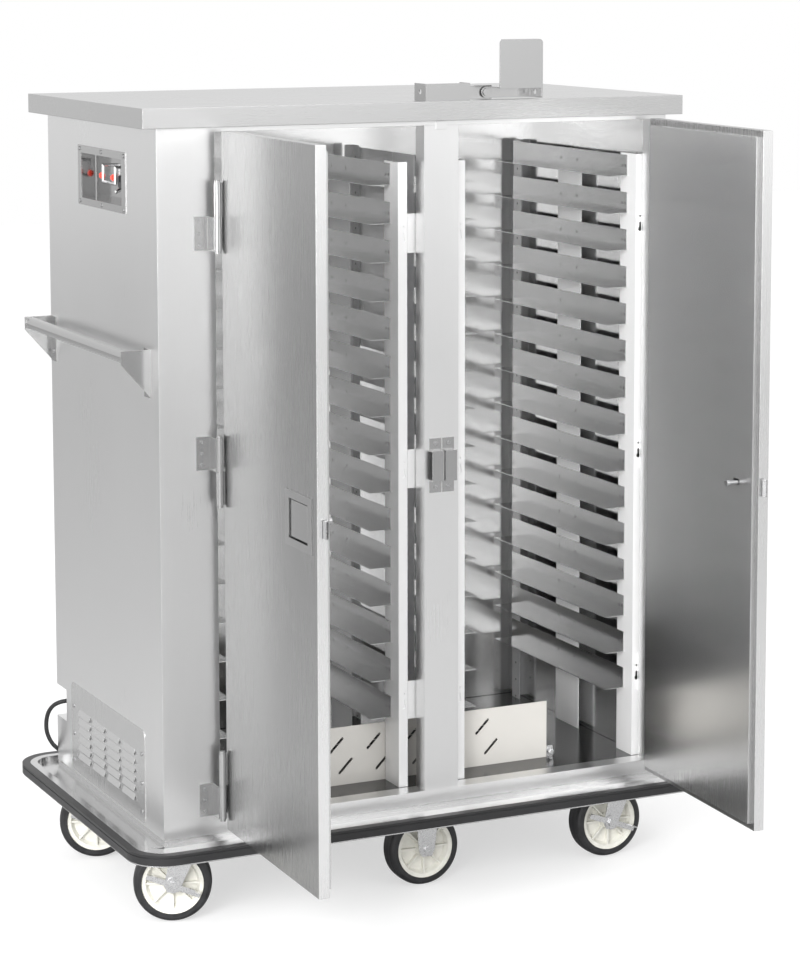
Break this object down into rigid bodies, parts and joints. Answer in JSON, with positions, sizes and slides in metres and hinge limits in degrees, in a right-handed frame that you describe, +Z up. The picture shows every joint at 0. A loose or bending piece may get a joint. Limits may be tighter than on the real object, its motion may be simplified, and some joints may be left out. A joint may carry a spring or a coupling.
{
  "type": "enclosed meal tray cart",
  "caption": "Enclosed meal tray cart: a heated two-bay stainless cabinet with hinged doors and slide racks on a bumper deck with swivel and fixed casters.",
  "frame": {"origin": "centre of the bounding box on the floor, measured without the free cord, its coil and plug, with both doors open as stored", "axes": "+X towards the cart's right side seen from the front, +Y from the door side to the back, +Z up"},
  "size_m": [1.256, 1.175, 1.6895],
  "materials": {
    "panel_steel": "satin brushed stainless sheet",
    "deck_steel": "satin stainless sheet",
    "door_steel": "brushed stainless sheet",
    "liner_steel": "plain stainless sheet",
    "fitting_steel": "satin stainless fittings",
    "handle_steel": "satin stainless tube",
    "rack_steel": "bright formed stainless sheet",
    "heater_steel": "warm off-white sheet cover",
    "heater_rod": "dark sheathed rods",
    "fastener_steel": "bright screw and rivet heads",
    "zinc": "zinc-plated pressed steel",
    "caster_wheel": "black tread moulded on a cream spoked hub",
    "bumper_rubber": "dark grey ribbed bumper",
    "bright_chrome": "polished",
    "black_plastic": "black moulded",
    "cord_rubber": "black cord jacket",
    "red_lamp": "translucent red lens"
  },
  "bodies": {
    "cabinet": {"deck_tray": "deck_steel", "bumper": "bumper_rubber", "side_panel_left": "panel_steel", "side_panel_right": "panel_steel", "back_panel": "panel_steel", "front_frame": "panel_steel", "center_mullion": "panel_steel", "top_cap": "panel_steel", "liner": "liner_steel", "control_box": "liner_steel", "control_bezel": "panel_steel", "knob_guard": "bright_chrome", "indicator_lights": "red_lamp", "panel_screws": "fastener_steel", "handle_tube": "handle_steel", "handle_brackets": "fitting_steel", "louvre_panel": "panel_steel", "frame_hinges": "fitting_steel", "hinge_rivets": "fastener_steel", "strikes": "fitting_steel", "lock_bracket": "fitting_steel", "rack_uprights": "rack_steel", "tray_slides": "rack_steel", "rack_brackets": "rack_steel", "heater_cover": "heater_steel", "heater_element": "heater_rod", "caster_mounts": "zinc", "strain_relief": "black_plastic", "power_cord": "cord_rubber", "cord_coil": "cord_rubber", "cord_plug": "black_plastic"},
    "left_door": {"left_door_pan": "door_steel", "left_door_liner": "door_steel", "left_door_hinges": "fitting_steel", "left_latch_case": "fitting_steel"},
    "right_door": {"right_door_pan": "door_steel", "right_door_liner": "door_steel", "right_door_hinges": "fitting_steel", "right_latch_case": "fitting_steel"},
    "left_paddle": {"left_latch_paddle": "fitting_steel"},
    "right_paddle": {"right_latch_paddle": "fitting_steel"},
    "left_bolt": {"left_latch_bolt": "fitting_steel"},
    "right_bolt": {"right_latch_bolt": "fitting_steel"},
    "lock_arm": {"lock_arm": "fitting_steel"},
    "thermostat_knob": {"thermostat_knob": "black_plastic"},
    "power_switch": {"power_switch": "bright_chrome"},
    "front_left_fork": {"fork_front_left": "zinc"},
    "front_left_wheel": {"wheel_front_left": "caster_wheel"},
    "front_left_brake": {"brake_front_left": "zinc"},
    "front_right_fork": {"fork_front_right": "zinc"},
    "front_right_wheel": {"wheel_front_right": "caster_wheel"},
    "front_right_brake": {"brake_front_right": "zinc"},
    "rear_left_fork": {"fork_rear_left": "zinc"},
    "rear_left_wheel": {"wheel_rear_left": "caster_wheel"},
    "rear_left_brake": {"brake_rear_left": "zinc"},
    "rear_right_fork": {"fork_rear_right": "zinc"},
    "rear_right_wheel": {"wheel_rear_right": "caster_wheel"},
    "rear_right_brake": {"brake_rear_right": "zinc"},
    "middle_front_wheel": {"wheel_middle_front": "caster_wheel"},
    "middle_rear_wheel": {"wheel_middle_rear": "caster_wheel"}
  },
  "joints": [
    {"name": "left_door_hinge", "type": "hinge", "parent": "cabinet", "child": "left_door", "pos_m": [-0.4372, -0.12245, 0.887], "axis": [0, 0, -1], "range_deg": [-91, 94]},
    {"name": "right_door_hinge", "type": "hinge", "parent": "cabinet", "child": "right_door", "pos_m": [0.5232, -0.12245, 0.887], "axis": [0, 0, 1], "range_deg": [-87, 113]},
    {"name": "left_latch_paddle_hinge", "type": "hinge", "parent": "left_door", "child": "left_paddle", "pos_m": [-0.43207, -0.5274, 0.858], "axis": [0, 0, 1], "range_deg": [0, 40]},
    {"name": "right_latch_paddle_hinge", "type": "hinge", "parent": "right_door", "child": "right_paddle", "pos_m": [0.48983, -0.52606, 0.858], "axis": [0, 0, -1], "range_deg": [0, 40]},
    {"name": "left_latch_bolt_slide", "type": "slide", "parent": "left_door", "child": "left_bolt", "axis": [-0.0175, -0.9998, 0], "range_m": [-0.013, 0]},
    {"name": "right_latch_bolt_slide", "type": "slide", "parent": "right_door", "child": "right_bolt", "axis": [-0.0523, -0.9986, 0], "range_m": [-0.013, 0]},
    {"name": "lock_arm_pivot", "type": "hinge", "parent": "cabinet", "child": "lock_arm", "pos_m": [0.1526, -0.06945, 1.5855], "axis": [0, -1, 0], "range_deg": [0, 145]},
    {"name": "thermostat_knob_turn", "type": "hinge", "parent": "cabinet", "child": "thermostat_knob", "pos_m": [-0.516, 0.13855, 1.4185], "axis": [-1, 0, 0], "range_deg": [0, 270]},
    {"name": "power_switch_tilt", "type": "hinge", "parent": "cabinet", "child": "power_switch", "pos_m": [-0.516, 0.16155, 1.4065], "axis": [0, 1, 0], "range_deg": [0, 50]},
    {"name": "front_left_swivel", "type": "hinge", "parent": "cabinet", "child": "front_left_fork", "pos_m": [-0.476, -0.04345, 0.17], "axis": [0, 0, 1], "continuous": true},
    {"name": "front_left_wheel_spin", "type": "hinge", "parent": "front_left_fork", "child": "front_left_wheel", "pos_m": [-0.50681, -0.03163, 0.0762], "axis": [-0.3584, -0.9336, 0], "continuous": true},
    {"name": "front_left_brake_pedal", "type": "hinge", "parent": "front_left_fork", "child": "front_left_brake", "pos_m": [-0.50681, -0.03163, 0.0762], "axis": [-0.3584, -0.9336, 0], "range_deg": [0, 28]},
    {"name": "front_right_swivel", "type": "hinge", "parent": "cabinet", "child": "front_right_fork", "pos_m": [0.476, -0.04345, 0.17], "axis": [0, 0, 1], "continuous": true},
    {"name": "front_right_wheel_spin", "type": "hinge", "parent": "front_right_fork", "child": "front_right_wheel", "pos_m": [0.443, -0.04345, 0.0762], "axis": [0, -1, 0], "continuous": true},
    {"name": "front_right_brake_pedal", "type": "hinge", "parent": "front_right_fork", "child": "front_right_brake", "pos_m": [0.443, -0.04345, 0.0762], "axis": [0, -1, 0], "range_deg": [0, 28]},
    {"name": "rear_left_swivel", "type": "hinge", "parent": "cabinet", "child": "rear_left_fork", "pos_m": [-0.476, 0.39555, 0.17], "axis": [0, 0, 1], "continuous": true},
    {"name": "rear_left_wheel_spin", "type": "hinge", "parent": "rear_left_fork", "child": "rear_left_wheel", "pos_m": [-0.50681, 0.40737, 0.0762], "axis": [-0.3584, -0.9336, 0], "continuous": true},
    {"name": "rear_left_brake_pedal", "type": "hinge", "parent": "rear_left_fork", "child": "rear_left_brake", "pos_m": [-0.50681, 0.40737, 0.0762], "axis": [-0.3584, -0.9336, 0], "range_deg": [0, 28]},
    {"name": "rear_right_swivel", "type": "hinge", "parent": "cabinet", "child": "rear_right_fork", "pos_m": [0.476, 0.39555, 0.17], "axis": [0, 0, 1], "continuous": true},
    {"name": "rear_right_wheel_spin", "type": "hinge", "parent": "rear_right_fork", "child": "rear_right_wheel", "pos_m": [0.44341, 0.40071, 0.0762], "axis": [-0.1564, -0.9877, 0], "continuous": true},
    {"name": "rear_right_brake_pedal", "type": "hinge", "parent": "rear_right_fork", "child": "rear_right_brake", "pos_m": [0.44341, 0.40071, 0.0762], "axis": [-0.1564, -0.9877, 0], "range_deg": [0, 28]},
    {"name": "middle_front_wheel_spin", "type": "hinge", "parent": "cabinet", "child": "middle_front_wheel", "pos_m": [0.02, -0.04345, 0.0762], "axis": [0, 1, 0], "continuous": true},
    {"name": "middle_rear_wheel_spin", "type": "hinge", "parent": "cabinet", "child": "middle_rear_wheel", "pos_m": [0.02, 0.39555, 0.0762], "axis": [0, 1, 0], "continuous": true}
  ],
  "couplings": [
    {"joint": "left_latch_bolt_slide", "follows": "left_latch_paddle_hinge", "m_per_rad": -0.0186},
    {"joint": "right_latch_bolt_slide", "follows": "right_latch_paddle_hinge", "m_per_rad": -0.0186}
  ]
}
